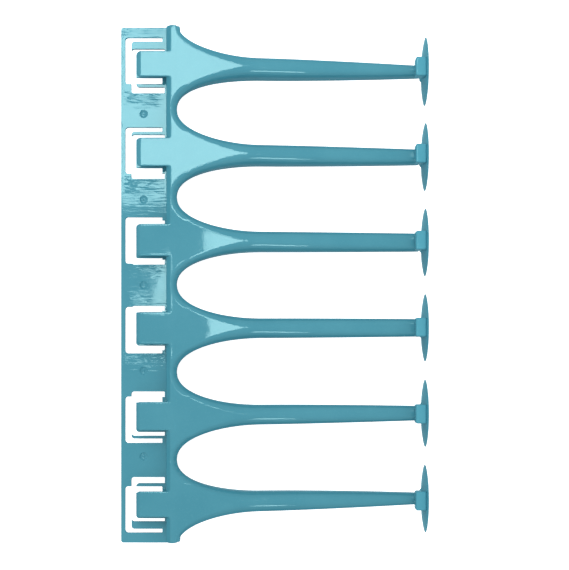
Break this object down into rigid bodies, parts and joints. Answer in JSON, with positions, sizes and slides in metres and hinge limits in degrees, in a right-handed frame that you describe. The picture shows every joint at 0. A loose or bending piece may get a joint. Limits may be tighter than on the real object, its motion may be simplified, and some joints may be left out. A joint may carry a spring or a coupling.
{
  "type": "clip drying hanger",
  "caption": "Comb-shaped drying hanger with tapered arms ending in stop discs and a long sprung clip jaw that grips an airer rail.",
  "frame": {"origin": "centre of the whole object's box, which is on the discs' axis plane, midway along the spine", "axes": "+X from the clip jaw along the arms to the discs, +Y along the spine, +Z out of the face with the flat webs and fingers"},
  "size_m": [0.1788, 0.3006, 0.0394],
  "materials": {
    "comb_plastic": "glossy moulded teal polypropylene",
    "jaw_plastic": "glossy moulded teal polypropylene with fine flow lines",
    "disc_plastic": "glossy moulded teal polypropylene",
    "spring_steel": "drawn steel wire and rod"
  },
  "bodies": {
    "frame": {"comb_frame": "comb_plastic", "hinge_pin": "spring_steel", "pin_retainer": "spring_steel", "end_disc_1": "disc_plastic", "end_disc_2": "disc_plastic", "end_disc_3": "disc_plastic", "end_disc_4": "disc_plastic", "end_disc_5": "disc_plastic", "end_disc_6": "disc_plastic"},
    "jaw": {"clip_jaw": "jaw_plastic", "jaw_spring_left": "spring_steel", "jaw_spring_right": "spring_steel"}
  },
  "joints": [
    {"name": "jaw_hinge", "type": "hinge", "parent": "frame", "child": "jaw", "pos_m": [-0.0596, 0, -0.0009], "axis": [0, -1, 0], "range_deg": [0, 45], "stiffness_Nm_per_rad": 0.06, "springref_deg": -45.84}
  ]
}
